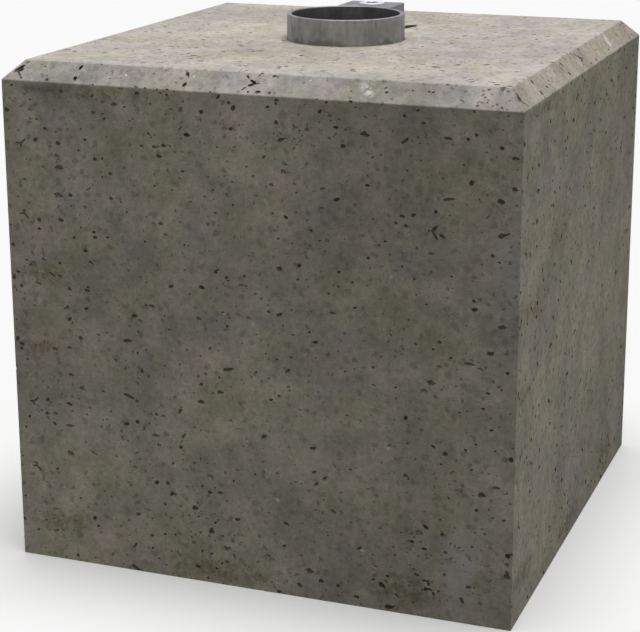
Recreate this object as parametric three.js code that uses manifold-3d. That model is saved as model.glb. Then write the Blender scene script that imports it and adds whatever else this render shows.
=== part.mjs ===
// Sign post foundation block: a precast concrete block with a steel sleeve for a round post.
// Millimetres, +Z up. The origin is the centre of the underside, and the front faces -Y.

import * as THREE from 'three';
import { mergeVertices } from 'three/addons/utils/BufferGeometryUtils.js';
import Module from 'manifold-3d';

// Concrete block
const BLOCK_WIDTH = 300;
const BLOCK_HEIGHT = 296;
const TOP_CHAMFER = 10.25;

// Steel sleeve, cast in upright at the middle of the block
const SLEEVE_OUTER_DIAMETER = 71;
const SLEEVE_WALL = 2.9;
const SLEEVE_RISE = 15.4;
const SLEEVE_ANCHOR_DEPTH = 6;
const SLEEVE_EDGE_BREAK = 0.4;
const SOCKET_FLOOR_HEIGHT = 46;

// Lug welded to the back of the sleeve, flush with its rim
const LUG_WIDTH = 35;
const LUG_BACK_Y = 60.5;
const LUG_DEPTH_IN_CONCRETE = 45;
const LUG_CORNER_RADIUS = 1.2;

// Locking screw: a low socket head that stands a little proud of the lug
const SCREW_CENTRE_Y = 48;
const SCREW_HEAD_DIAMETER = 16;
const SCREW_HEAD_HEIGHT = 7;
const SCREW_HEAD_PROUD = 1;
const SCREW_HEAD_BEVEL = 0.6;
const SCREW_SHANK_DIAMETER = 10;
const SCREW_SHANK_LENGTH = 25;
const SOCKET_ACROSS_FLATS = 7;
const SOCKET_DEPTH = 4.5;

// Clearance between one piece and the next
const GAP = 0.3;

// How round the round faces are
const SLEEVE_SIDES = 96;
const SCREW_SIDES = 48;
const CORNER_STEPS = 4;

// Heights and radii that follow from the sizes above
const RIM_HEIGHT = BLOCK_HEIGHT + SLEEVE_RISE;
const SLEEVE_OUTER_RADIUS = SLEEVE_OUTER_DIAMETER / 2;
const SLEEVE_INNER_RADIUS = SLEEVE_OUTER_RADIUS - SLEEVE_WALL;
const SLEEVE_BOTTOM = SOCKET_FLOOR_HEIGHT - SLEEVE_ANCHOR_DEPTH;
const LUG_BOTTOM = BLOCK_HEIGHT - LUG_DEPTH_IN_CONCRETE;
const HEAD_TOP = RIM_HEIGHT + SCREW_HEAD_PROUD;
const HEAD_SEAT = HEAD_TOP - SCREW_HEAD_HEIGHT;
const SHANK_END = HEAD_SEAT - SCREW_SHANK_LENGTH;

// A cutter runs this far past the face that it opens
const CUTTER_OVERRUN = 5;

const wasm = await Module();
wasm.setup();

// Closed geometry to solid, for cutting
function toSolid(geometry) {
  const bare = geometry.clone();
  bare.deleteAttribute('normal');
  bare.deleteAttribute('uv');
  const merged = mergeVertices(bare);
  return new wasm.Manifold(new wasm.Mesh({
    numProp: 3,
    vertProperties: Float32Array.from(merged.attributes.position.array),
    triVerts: Uint32Array.from(merged.index.array),
  }));
}

// Solid back to geometry, with flat faces
function toGeometry(solid) {
  const mesh = solid.getMesh();
  const geometry = new THREE.BufferGeometry();
  geometry.setAttribute('position', new THREE.BufferAttribute(mesh.vertProperties, 3));
  geometry.setIndex(new THREE.BufferAttribute(mesh.triVerts, 1));
  geometry.computeVertexNormals();
  return geometry;
}

// Spin a profile of [radius, height] points about the Z axis
function turned(profile, sides, startAngle = 0) {
  const points = profile.map(([radius, height]) => new THREE.Vector2(radius, height));
  const geometry = new THREE.LatheGeometry(points, sides, startAngle);
  return geometry.rotateX(Math.PI / 2);
}

// Outline of the lug seen from above, grown by a clearance; its front is coped to the sleeve
function lugOutline(clearance) {
  const half = LUG_WIDTH / 2 + clearance;
  const back = LUG_BACK_Y + clearance;
  const corner = LUG_CORNER_RADIUS + clearance;
  const copeRadius = SLEEVE_OUTER_RADIUS + GAP - clearance;
  const copeAngle = Math.acos(half / copeRadius);
  const outline = new THREE.Shape();
  outline.moveTo(half, copeRadius * Math.sin(copeAngle));
  outline.absarc(half - corner, back - corner, corner, 0, Math.PI / 2);
  outline.absarc(corner - half, back - corner, corner, Math.PI / 2, Math.PI);
  outline.absarc(0, 0, copeRadius, Math.PI - copeAngle, copeAngle, true);
  return outline;
}

function lugPrism(clearance, bottom, top) {
  const prism = new THREE.ExtrudeGeometry(lugOutline(clearance), {
    depth: top - bottom,
    bevelEnabled: false,
    curveSegments: CORNER_STEPS,
  });
  return prism.translate(0, 0, bottom);
}

// Screw shape grown by a clearance, as a profile about its own axis
function screwProfile(clearance, top) {
  const head = SCREW_HEAD_DIAMETER / 2 + clearance;
  const shank = SCREW_SHANK_DIAMETER / 2 + clearance;
  return [
    [0, SHANK_END - clearance],
    [shank, SHANK_END - clearance],
    [shank, HEAD_SEAT - clearance],
    [head, HEAD_SEAT - clearance],
    [head, top - SCREW_HEAD_BEVEL],
    [head - SCREW_HEAD_BEVEL, top],
    [0, top],
  ];
}

// The casting: a square prism with a chamfered top, spun as a lathe of four sides
function concreteBlock() {
  const cornerRadius = BLOCK_WIDTH / Math.SQRT2;
  const topCornerRadius = cornerRadius - TOP_CHAMFER * Math.SQRT2;
  const casting = turned([
    [0, 0],
    [cornerRadius, 0],
    [cornerRadius, BLOCK_HEIGHT - TOP_CHAMFER],
    [topCornerRadius, BLOCK_HEIGHT],
    [0, BLOCK_HEIGHT],
  ], 4, Math.PI / 4);
  const seatRadius = SLEEVE_INNER_RADIUS - GAP;
  const boreRadius = SLEEVE_OUTER_RADIUS + GAP;
  const bore = turned([
    [0, SOCKET_FLOOR_HEIGHT],
    [seatRadius, SOCKET_FLOOR_HEIGHT],
    [seatRadius, SLEEVE_BOTTOM - GAP],
    [boreRadius, SLEEVE_BOTTOM - GAP],
    [boreRadius, BLOCK_HEIGHT + CUTTER_OVERRUN],
    [0, BLOCK_HEIGHT + CUTTER_OVERRUN],
  ], SLEEVE_SIDES);
  const lugPocket = lugPrism(GAP, LUG_BOTTOM - GAP, BLOCK_HEIGHT + CUTTER_OVERRUN);
  return toGeometry(toSolid(casting).subtract(toSolid(bore)).subtract(toSolid(lugPocket)));
}

// The tube, with both edges of its rim broken
function postSleeve() {
  return turned([
    [SLEEVE_INNER_RADIUS, SLEEVE_BOTTOM],
    [SLEEVE_OUTER_RADIUS, SLEEVE_BOTTOM],
    [SLEEVE_OUTER_RADIUS, RIM_HEIGHT - SLEEVE_EDGE_BREAK],
    [SLEEVE_OUTER_RADIUS - SLEEVE_EDGE_BREAK, RIM_HEIGHT],
    [SLEEVE_INNER_RADIUS + SLEEVE_EDGE_BREAK, RIM_HEIGHT],
    [SLEEVE_INNER_RADIUS, RIM_HEIGHT - SLEEVE_EDGE_BREAK],
    [SLEEVE_INNER_RADIUS, SLEEVE_BOTTOM],
  ], SLEEVE_SIDES);
}

// The lug, bored and counterbored for the screw
function lockLug() {
  const screwHole = turned(screwProfile(GAP, RIM_HEIGHT + CUTTER_OVERRUN), SCREW_SIDES);
  screwHole.translate(0, SCREW_CENTRE_Y, 0);
  return toGeometry(toSolid(lugPrism(0, LUG_BOTTOM, RIM_HEIGHT)).subtract(toSolid(screwHole)));
}

// The screw, about its own axis, with the hexagon socket cut into its head
function lockingScrew() {
  const body = turned(screwProfile(0, HEAD_TOP), SCREW_SIDES);
  const hexagonRadius = SOCKET_ACROSS_FLATS / Math.sqrt(3);
  const hexagon = turned([
    [0, HEAD_TOP - SOCKET_DEPTH],
    [hexagonRadius, HEAD_TOP - SOCKET_DEPTH],
    [hexagonRadius, HEAD_TOP + CUTTER_OVERRUN],
    [0, HEAD_TOP + CUTTER_OVERRUN],
  ], 6);
  return toGeometry(toSolid(body).subtract(toSolid(hexagon)));
}

const concrete = new THREE.MeshStandardMaterial({ color: 0xbcb6ad, roughness: 0.92, metalness: 0 });
const weatheredZinc = new THREE.MeshStandardMaterial({ color: 0x7e7d7b, roughness: 0.55, metalness: 1 });
const brightZinc = new THREE.MeshStandardMaterial({ color: 0xdedfe6, roughness: 0.3, metalness: 1 });

function named(name, geometry, material) {
  const mesh = new THREE.Mesh(geometry, material);
  mesh.name = name;
  return mesh;
}

const foundation = new THREE.Group();
foundation.name = 'sign_post_foundation_block';
foundation.add(named('concrete_block', concreteBlock(), concrete));
foundation.add(named('post_sleeve', postSleeve(), weatheredZinc));
foundation.add(named('lock_lug', lockLug(), weatheredZinc));

const screw = named('locking_screw', lockingScrew(), brightZinc);
screw.position.y = SCREW_CENTRE_Y;
foundation.add(screw);

export default foundation;
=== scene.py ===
# %% [markdown]
# # A sign post foundation block
# The real object is a precast concrete block, about thirty centimetres each way. A steel sleeve
# cast into its top takes a round sign post, and a lug behind the sleeve carries the screw that
# locks it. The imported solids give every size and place. This lesson dresses them: it cuts the air
# holes that every casting has, rounds the steel edges, and gives each piece its own finish.

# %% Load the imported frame
import math
from collections import namedtuple

import bmesh
import bpy
import numpy as np
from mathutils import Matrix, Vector


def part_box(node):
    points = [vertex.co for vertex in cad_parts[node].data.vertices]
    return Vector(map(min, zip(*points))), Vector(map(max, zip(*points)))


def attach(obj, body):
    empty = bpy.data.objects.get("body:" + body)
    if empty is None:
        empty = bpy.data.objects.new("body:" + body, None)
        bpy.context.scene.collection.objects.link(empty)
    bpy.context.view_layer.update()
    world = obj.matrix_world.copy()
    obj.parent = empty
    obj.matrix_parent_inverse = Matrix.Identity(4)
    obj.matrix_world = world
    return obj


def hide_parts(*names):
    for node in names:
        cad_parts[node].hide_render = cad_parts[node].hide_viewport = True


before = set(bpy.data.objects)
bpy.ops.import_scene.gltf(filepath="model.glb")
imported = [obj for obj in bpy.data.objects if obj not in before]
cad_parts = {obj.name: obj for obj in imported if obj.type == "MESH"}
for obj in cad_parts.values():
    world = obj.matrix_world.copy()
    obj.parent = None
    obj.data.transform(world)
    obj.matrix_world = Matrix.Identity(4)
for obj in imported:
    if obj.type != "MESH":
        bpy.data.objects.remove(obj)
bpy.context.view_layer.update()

MM = 0.001

# %% [markdown]
# ## The sizes
# A node's box holds most of what the pieces need. The chamfer, the wall of the sleeve and the inside
# of the lug don't show in a box, so they are named here as real sizes.

# %% Sizes read from the frame
block_low, block_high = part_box("concrete_block")
sleeve_low, sleeve_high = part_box("post_sleeve")
lug_low, lug_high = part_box("lock_lug")
screw_low, screw_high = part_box("locking_screw")

BLOCK_HALF = block_high.x
BLOCK_TOP = block_high.z
CHAMFER = 10.25 * MM
ARRIS = BLOCK_TOP - CHAMFER

SLEEVE_RADIUS = sleeve_high.x
SLEEVE_WALL = 2.9 * MM
SLEEVE_BORE = SLEEVE_RADIUS - SLEEVE_WALL
SLEEVE_ANCHOR = 6 * MM
SOCKET_FLOOR = sleeve_low.z + SLEEVE_ANCHOR
RIM = sleeve_high.z
SCREW_CENTRE = (screw_low.y + screw_high.y) / 2
GAP = 0.3 * MM
print("block", round(2 * BLOCK_HALF / MM), "mm wide,", round(BLOCK_TOP / MM), "mm high")

# %% [markdown]
# ## The camera
# The block's edges run to vanishing points, so one photograph of it fixes the camera: the focal
# length and the centre of perspective in pixels, the height above the floor and the turn about the
# block. A lens shift stands for a centre of perspective that isn't the middle of the picture.

# %% Camera
IMAGE_WIDTH_PX = 640
IMAGE_HEIGHT_PX = 632
FOCAL_LENGTH_PX = 1780.5
PERSPECTIVE_CENTRE_PX = (344.3, 257.2)
CAMERA_PLACE = (0.36716, -1.00980, 0.44684)
CAMERA_TURN = math.radians(20.03)
CAMERA_DIP = math.radians(15.0)


def photograph_camera():
    data = bpy.data.cameras.new("photograph_camera")
    data.sensor_width = 36
    data.lens = data.sensor_width * FOCAL_LENGTH_PX / IMAGE_WIDTH_PX
    data.shift_x = 0.5 - PERSPECTIVE_CENTRE_PX[0] / IMAGE_WIDTH_PX
    data.shift_y = (PERSPECTIVE_CENTRE_PX[1] - IMAGE_HEIGHT_PX / 2) / IMAGE_WIDTH_PX
    camera = bpy.data.objects.new("photograph_camera", data)
    camera.location = CAMERA_PLACE
    camera.rotation_euler = (math.pi / 2 - CAMERA_DIP, 0, CAMERA_TURN)
    bpy.context.scene.collection.objects.link(camera)
    bpy.context.scene.camera = camera
    return camera.data


lens = photograph_camera()
print("lens", round(lens.lens, 1), "mm, shift", round(lens.shift_x, 3), round(lens.shift_y, 3))

# %% [markdown]
# ## Helpers for nodes
# Materials and Geometry Nodes are both trees of nodes. One helper adds a node, sets its options and
# feeds its sockets, so that a tree reads as a list of steps. The others are the steps that come back
# in every tree: a sum, a product, a soft step from one value to another, a blend of two colours, noise.

# %% Helpers for nodes


def add(tree, kind, feeds=None, **options):
    """Adds a node; feeds gives a link or a value for sockets, by name or number."""
    node = tree.nodes.new(kind)
    for name, value in options.items():
        setattr(node, name, value)
    for key, value in (feeds or {}).items():
        if isinstance(value, bpy.types.NodeSocket):
            tree.links.new(value, node.inputs[key])
        else:
            node.inputs[key].default_value = value
    return node


def calculate(tree, operation, first, second=0.5, third=0.5):
    return add(tree, "ShaderNodeMath", {0: first, 1: second, 2: third}, operation=operation).outputs[0]


def product(tree, first, *others):
    for other in others:
        first = calculate(tree, "MULTIPLY", first, other)
    return first


def spread(tree, value, low, high, to_low=0.0, to_high=1.0):
    """Maps low..high to to_low..to_high with soft ends."""
    feeds = {"Value": value, 1: low, 2: high, 3: to_low, 4: to_high}
    return add(tree, "ShaderNodeMapRange", feeds, interpolation_type="SMOOTHSTEP").outputs[0]


def blend(tree, share, first, second, how="MIX"):
    feeds = {0: share, 6: first, 7: second}
    return add(tree, "ShaderNodeMix", feeds, data_type="RGBA", blend_type=how).outputs[2]


def tinted(tree, colour, tints):
    """Multiplies a colour by each tint, where the tint's mask allows it."""
    for mask, tint in tints:
        colour = blend(tree, mask, colour, tint, "MULTIPLY")
    return colour


def grey(tree, tone):
    return add(tree, "ShaderNodeCombineXYZ", {0: tone, 1: tone, 2: tone}).outputs[0]


def noise(tree, where, scale, detail=2.0, roughness=0.5):
    feeds = {"Vector": where, "Scale": scale, "Detail": detail, "Roughness": roughness}
    return add(tree, "ShaderNodeTexNoise", feeds).outputs[0]


def split(tree, vector):
    return add(tree, "ShaderNodeSeparateXYZ", {0: vector}).outputs


def distance(tree, x, y):
    """How far the flat place (x, y) is from the origin."""
    flat = add(tree, "ShaderNodeCombineXYZ", {0: x, 1: y}).outputs[0]
    return add(tree, "ShaderNodeVectorMath", {0: flat}, operation="LENGTH").outputs["Value"]


def scaled(tree, vector, factor):
    return add(tree, "ShaderNodeVectorMath", {0: vector, "Scale": factor}, operation="SCALE").outputs[0]


def new_finish(name):
    """A new material, its tree, its surface node and the place on the piece."""
    material = bpy.data.materials.new(name)
    material.use_nodes = True
    tree = material.node_tree
    place = add(tree, "ShaderNodeTexCoord").outputs["Object"]
    return material, tree, tree.nodes["Principled BSDF"], place


def give_relief(tree, surface, height, strength, depth):
    relief = add(tree, "ShaderNodeBump", {"Strength": strength, "Distance": depth, "Height": height})
    tree.links.new(relief.outputs[0], surface.inputs["Normal"])


# %% [markdown]
# ## Helpers for meshes
# A bmesh is the easiest way to write a shape down, and a modifier the easiest way to cut it. These
# helpers turn a bmesh into an object, replace a mesh by what its modifiers make of it, and make the
# two kinds of solid that the steel needs: a turned one and an upright prism.

# %% Helpers for meshes


def to_object(name, shape):
    mesh = bpy.data.meshes.new(name)
    shape.to_mesh(mesh)
    shape.free()
    piece = bpy.data.objects.new(name, mesh)
    bpy.context.scene.collection.objects.link(piece)
    return piece


def settle(piece):
    """Replaces a piece's mesh by what its modifiers make, and takes the modifiers off."""
    graph = bpy.context.evaluated_depsgraph_get()
    made = bpy.data.meshes.new_from_object(piece.evaluated_get(graph), depsgraph=graph)
    piece.modifiers.clear()
    piece.data = made


def cut(piece, cutter):
    """Takes the cutter's solid out of the piece, then removes the cutter."""
    difference = piece.modifiers.new("cut", "BOOLEAN")
    difference.operation = "DIFFERENCE"
    difference.solver = "MANIFOLD"
    difference.object = cutter
    settle(piece)
    bpy.data.objects.remove(cutter)


def turned(name, profile, sides, centre_y=0.0, first_angle=0.0):
    """Spins a closed profile of (radius, height) points about an upright axis."""
    shape = bmesh.new()
    rings = []
    for step in range(sides):
        angle = first_angle + 2 * math.pi * step / sides
        across, along = math.cos(angle), math.sin(angle)
        rings.append([shape.verts.new((r * across, centre_y + r * along, z)) for r, z in profile])
    count = len(profile)
    for step in range(sides):
        here, there = rings[step], rings[(step + 1) % sides]
        for point in range(count):
            following = (point + 1) % count
            shape.faces.new((here[point], there[point], there[following], here[following]))
    bmesh.ops.remove_doubles(shape, verts=shape.verts, dist=1e-7)
    bmesh.ops.dissolve_degenerate(shape, edges=shape.edges, dist=1e-7)
    bmesh.ops.recalc_face_normals(shape, faces=shape.faces)
    return to_object(name, shape)


def prism(name, outline, bottom, top):
    shape = bmesh.new()
    low = [shape.verts.new((x, y, bottom)) for x, y in outline]
    high = [shape.verts.new((x, y, top)) for x, y in outline]
    shape.faces.new(reversed(low))
    shape.faces.new(high)
    for here in range(len(outline)):
        there = (here + 1) % len(outline)
        shape.faces.new((low[here], low[there], high[there], high[here]))
    return to_object(name, shape)


def arc(centre, radius, first_degrees, last_degrees, steps):
    """Points on an arc, both ends included."""
    points = []
    for step in range(steps + 1):
        angle = math.radians(first_degrees + (last_degrees - first_degrees) * step / steps)
        points.append((centre[0] + radius * math.cos(angle), centre[1] + radius * math.sin(angle)))
    return points


def dress(piece, node, finish):
    """Puts a finished piece in the place of its solid."""
    piece.data.materials.clear()
    piece.data.materials.append(finish)
    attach(piece, "root")
    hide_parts(node)
    print(piece.name, "has", sum(len(face.vertices) - 2 for face in piece.data.polygons), "triangles")


# %% [markdown]
# ## Stains and specks
# Old concrete has marks that noise alone can't give. Stains lie where water stood or ran, and specks
# are pores and grains of lime too fine to cut. They could be painted on a picture, but a rule has no
# seams and stays sharp up close. A stain is a soft oval, and specks are dots in some cells of a
# Voronoi pattern. The sum of x and y, folded to the block's width, is the place across any of the
# four sides, so one rule stains them all.

# %% Stains and specks


def stain(tree, first, second, oval):
    """A soft oval, 1 at its middle and 0 outside; oval is its centre and its half sizes in millimetres."""
    offsets = []
    for place, centre, half in ((first, oval[0], oval[2]), (second, oval[1], oval[3])):
        offset = calculate(tree, "SUBTRACT", place, centre * MM)
        offsets.append(calculate(tree, "DIVIDE", offset, half * MM))
    return spread(tree, distance(tree, *offsets), 1.0, 0.2)


def stains(tree, first, second, ovals):
    """The strongest of several stains at each place."""
    strongest = stain(tree, first, second, ovals[0])
    for oval in ovals[1:]:
        strongest = calculate(tree, "MAXIMUM", strongest, stain(tree, first, second, oval))
    return strongest


def across_side(tree, x, y):
    """The place across any of the four sides: the sum of x and y, folded to the block's width."""
    turns = calculate(tree, "DIVIDE", calculate(tree, "ADD", x, y), 2 * BLOCK_HALF)
    return product(tree, calculate(tree, "FRACT", turns), 2 * BLOCK_HALF)


def specks(tree, where, scale, radius, share):
    """Round specks in a share of the cells of a Voronoi pattern; radius is a share of the cell."""
    cells = add(tree, "ShaderNodeTexVoronoi", {"Vector": where, "Scale": scale})
    speck = spread(tree, cells.outputs["Distance"], radius, 0.5 * radius)
    lot = add(tree, "ShaderNodeSeparateColor", {0: cells.outputs["Color"]}).outputs[0]
    return product(tree, speck, calculate(tree, "LESS_THAN", lot, share))


# %% [markdown]
# ## The tones of concrete
# Cast concrete is a pale beige grey, matt, and never even. Broad clouds lean to olive, to a cooler
# grey or to rose, smaller blotches lie over them, and sand shows as fine grain. A photograph wrapped
# round the block would bring its own light along and would have seams. Noise on Object coordinates has
# neither, and it sticks to the block. Each function here is one layer of the finish, and a spot
# gathers the places and masks that the layers share.

# %% Tones of concrete
PALE_OLIVE = (0.512, 0.490, 0.384, 1)
COOL_GREY = (0.496, 0.472, 0.438, 1)
ROSY_GREY = (0.528, 0.470, 0.424, 1)
TOP_TINT = (0.982, 0.969, 1.0, 1)
CHAMFER_TINT = (1.0, 1.0, 1.02, 1)
WARM_CHAMFER_TINT = (0.955, 0.92, 0.875, 1)
SIDE_TINT = (1.0, 0.995, 0.91, 1)
# Painted shade: the chamfers are darkened by this factor
CHAMFER_PAINTED_SHADE = 0.85
TOP_EVENNESS = 0.2

# The clouds are drawn out along a slant, and a second field of noise lies far from the first
CLOUD_SLANT = (0, math.radians(-35), math.radians(45))
CLOUD_STRETCH = (2, 1, 1)
FAR_AWAY = (3, 5, 7)

# Each side is darker past this stretch of its width, and below this height, with a wandering border
DAMP_END = (170 * MM, 225 * MM)
DAMP_END_TONE = 0.86
DAMP_FOOT = 40 * MM
DAMP_FOOT_TONE = 0.92
WANDER = 25 * MM

Spot = namedtuple("Spot", "place drawn_out elsewhere x y z across wander on_top on_chamfers on_sides")


def concrete_spot(tree, place):
    x, y, z = split(tree, place)
    slant = {"Vector": place, "Rotation": CLOUD_SLANT, "Scale": CLOUD_STRETCH}
    on_sides = spread(tree, z, ARRIS + 0.4 * MM, ARRIS - 0.4 * MM)
    on_top = spread(tree, z, BLOCK_TOP - 0.6 * MM, BLOCK_TOP - 0.1 * MM)
    return Spot(
        place=place,
        drawn_out=add(tree, "ShaderNodeMapping", slant, vector_type="TEXTURE").outputs[0],
        elsewhere=add(tree, "ShaderNodeMapping", {"Vector": place, "Location": FAR_AWAY}).outputs[0],
        x=x,
        y=y,
        z=z,
        across=across_side(tree, x, y),
        wander=spread(tree, noise(tree, place, 18.0, 3.0), 0.3, 0.7, -WANDER, WANDER),
        on_top=on_top,
        on_chamfers=calculate(tree, "SUBTRACT", calculate(tree, "SUBTRACT", 1.0, on_sides), on_top),
        on_sides=on_sides,
    )


def cloudy_colour(tree, spot):
    olive = spread(tree, noise(tree, spot.drawn_out, 26.0, 8.0, 0.72), 0.36, 0.64)
    rosy = spread(tree, noise(tree, spot.elsewhere, 34.0, 8.0, 0.75), 0.44, 0.66)
    return blend(tree, rosy, blend(tree, olive, COOL_GREY, PALE_OLIVE), ROSY_GREY)


def light_and_dark(tree, spot):
    """The tone from broad clouds down to sand, and the height of the two finest layers."""
    broad = spread(tree, noise(tree, spot.drawn_out, 12.0, 3.0, 0.6), 0.3, 0.7, 0.88, 1.12)
    clouded = spread(tree, noise(tree, spot.elsewhere, 34.0, 4.0, 0.6), 0.3, 0.7, 0.88, 1.12)
    blotches = spread(tree, noise(tree, spot.place, 90.0, 4.0, 0.65), 0.3, 0.7, 0.87, 1.12)
    mottle = spread(tree, noise(tree, spot.place, 300.0, 3.0, 0.6), 0.28, 0.72, 0.88, 1.10)
    grain = spread(tree, noise(tree, spot.place, 900.0, 2.0, 0.6), 0.25, 0.75, 0.90, 1.09)
    tone = product(tree, broad, clouded, blotches, mottle, grain)
    return tone, calculate(tree, "ADD", grain, mottle)


def dampness(tree, spot):
    """Darkens one end and the foot of each side."""
    end = spread(tree, calculate(tree, "ADD", spot.across, spot.wander), *DAMP_END, 1.0, DAMP_END_TONE)
    foot = spread(tree, calculate(tree, "ADD", spot.z, spot.wander), 0.0, DAMP_FOOT, DAMP_FOOT_TONE, 1.0)
    return add(tree, "ShaderNodeMix", {0: spot.on_sides, 2: 1.0, 3: product(tree, end, foot)}).outputs[0]


def toned_colour(tree, spot, colour, tone):
    """Applies the tone, which is more even on the top and darker on the chamfers by painted shade, and
    tints each face.
    """
    tone = product(tree, tone, dampness(tree, spot))
    evenness = product(tree, spot.on_top, TOP_EVENNESS)
    tone = add(tree, "ShaderNodeMix", {0: evenness, 2: tone, 3: 1.0}).outputs[0]
    # Painted shade darkens the chamfers
    tone = product(tree, tone, spread(tree, spot.on_chamfers, 0.0, 1.0, 1.0, CHAMFER_PAINTED_SHADE))
    far_out = [calculate(tree, "ABSOLUTE", part) for part in (spot.x, spot.y)]
    on_warm_chamfers = product(tree, spot.on_chamfers, calculate(tree, "GREATER_THAN", *far_out))
    return tinted(tree, colour, (
        (1.0, grey(tree, tone)),
        (spot.on_top, TOP_TINT),
        (spot.on_chamfers, CHAMFER_TINT),
        (on_warm_chamfers, WARM_CHAMFER_TINT),
        (spot.on_sides, SIDE_TINT),
    ))


# %% [markdown]
# ## Concrete finish
# Over the tones lie the marks of use. Water leaves a damp patch on the top, a dark ring where the
# steel enters, and olive stains on the sides, with fine pits in them. Lime leaves pale veils, a smudge
# on a chamfer and a few white specks. Last, the walls of the air holes are darkened by an attribute
# that the cutting below leaves on them: partly the dirt that real holes hold, partly painted shade.

# %% Concrete finish
AIR_HOLE = "air_hole"
STAIN_OLIVE = (0.66, 0.635, 0.53, 1)
DAMP_BROWN = (0.86, 0.82, 0.77, 1)
# Dirt and painted shade in the walls of the air holes, the stain pits and the pore specks
HOLE_DIRT_AND_SHADE = (0.20, 0.185, 0.16, 1)
LIME_WHITE = (0.80, 0.79, 0.76, 1)
LIME_VEIL = (0.50, 0.53, 0.54, 1)

# Each mark on a side: across, height, half length and half height, in millimetres
STAINS = (
    (24, 175, 28, 8),
    (14, 131, 20, 7),
    (26, 24, 28, 10),
    (130, 9, 48, 10),
    (238, 14, 30, 15),
    (52, 281, 58, 6),
)
VEILS = ((270, 32, 14, 36), (294, 203, 12, 30))
VEIL_STRENGTH = 0.36
LIME_SMUDGE = (219.5, 291.2, 4.4, 4.2)
LIME_DOT = (80.5, 291.3, 1.0, 0.8)

# The damp patch on the top is an oval too, in x and y. The ring lies round the sleeve
DAMP_PATCH = (0, -70, 90, 70)
PATCH_STRENGTH = 0.75
RING_WIDTH = 9 * MM
RING_STRENGTH = 1.5
RING_WANDER = 0.15

# Specks: cells per metre, radius as a share of a cell, share of the cells, strength and colour
SPECKS = (
    (140.0, 0.36, 0.60, 0.39, HOLE_DIRT_AND_SHADE),
    (150.0, 0.27, 0.32, 0.60, HOLE_DIRT_AND_SHADE),
    (260.0, 0.28, 0.22, 0.85, HOLE_DIRT_AND_SHADE),
    (560.0, 0.36, 0.17, 0.54, HOLE_DIRT_AND_SHADE),
    (62.0, 0.085, 0.22, 0.70, LIME_WHITE),
)
STAIN_PITS = (380.0, 0.38, 0.5)
STAIN_PIT_STRENGTH = 0.75
SPECK_WOBBLE = 5 * MM


def damp_top(tree, spot, colour):
    drifted = [calculate(tree, "ADD", part, spot.wander) for part in (spot.x, spot.y)]
    patch = product(tree, stain(tree, *drifted, DAMP_PATCH), spot.on_top, PATCH_STRENGTH)
    radius = distance(tree, spot.x, spot.y)
    radius = calculate(tree, "ADD", radius, product(tree, spot.wander, RING_WANDER))
    ring = spread(tree, radius, SLEEVE_RADIUS + RING_WIDTH, SLEEVE_RADIUS, 0.0, RING_STRENGTH)
    return tinted(tree, colour, ((patch, DAMP_BROWN), (ring, DAMP_BROWN)))


def olive_stains(tree, spot):
    patchy = spread(tree, noise(tree, spot.place, 140.0, 4.0, 0.7), 0.38, 0.58)
    return product(tree, stains(tree, spot.across, spot.z, STAINS), patchy, spot.on_sides)


def limed(tree, spot, colour):
    veiled = product(tree, stains(tree, spot.across, spot.z, VEILS), spot.on_sides, VEIL_STRENGTH)
    flecked = spread(tree, noise(tree, spot.place, 420.0, 2.0), 0.38, 0.52)
    smudge = product(tree, stain(tree, spot.across, spot.z, LIME_SMUDGE), flecked)
    smudge = calculate(tree, "MAXIMUM", smudge, stain(tree, spot.across, spot.z, LIME_DOT))
    return blend(tree, smudge, blend(tree, veiled, colour, LIME_VEIL), LIME_WHITE)


def speckled(tree, spot, colour, stained):
    """Adds the pits of the stains and all specks, at places that wobble so that none is quite round."""
    feeds = {"Vector": spot.place, "Scale": 260.0, "Detail": 3.0}
    wobble = add(tree, "ShaderNodeTexNoise", feeds).outputs["Color"]
    feeds = {0: wobble, 1: (SPECK_WOBBLE, SPECK_WOBBLE, SPECK_WOBBLE), 2: spot.place}
    uneven = add(tree, "ShaderNodeVectorMath", feeds, operation="MULTIPLY_ADD").outputs[0]
    # The stain pits and most specks take the holes' dirt and painted shade
    pits = product(tree, specks(tree, uneven, *STAIN_PITS), spread(tree, stained, 0.1, 0.6))
    colour = blend(tree, product(tree, pits, STAIN_PIT_STRENGTH), colour, HOLE_DIRT_AND_SHADE)
    for scale, radius, share, strength, tint in SPECKS:
        marked = product(tree, specks(tree, uneven, scale, radius, share), strength)
        colour = blend(tree, marked, colour, tint)
    return colour


def concrete_finish():
    material, tree, surface, place = new_finish("cast_concrete")
    spot = concrete_spot(tree, place)
    tone, height = light_and_dark(tree, spot)
    stained = olive_stains(tree, spot)
    colour = toned_colour(tree, spot, cloudy_colour(tree, spot), tone)
    colour = damp_top(tree, spot, colour)
    colour = tinted(tree, colour, ((stained, STAIN_OLIVE),))
    colour = limed(tree, spot, colour)
    colour = speckled(tree, spot, colour, stained)
    # The walls of the air holes are darkened: partly dirt, partly painted shade
    hole = add(tree, "ShaderNodeAttribute", attribute_name=AIR_HOLE).outputs["Fac"]
    colour = tinted(tree, colour, ((hole, HOLE_DIRT_AND_SHADE),))
    tree.links.new(colour, surface.inputs["Base Color"])
    surface.inputs["Roughness"].default_value = 0.92
    surface.inputs["Specular IOR Level"].default_value = 0.25
    give_relief(tree, surface, height, strength=0.4, depth=0.35 * MM)
    return material


concrete = concrete_finish()
print("concrete finish has", len(concrete.node_tree.nodes), "nodes")
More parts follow.
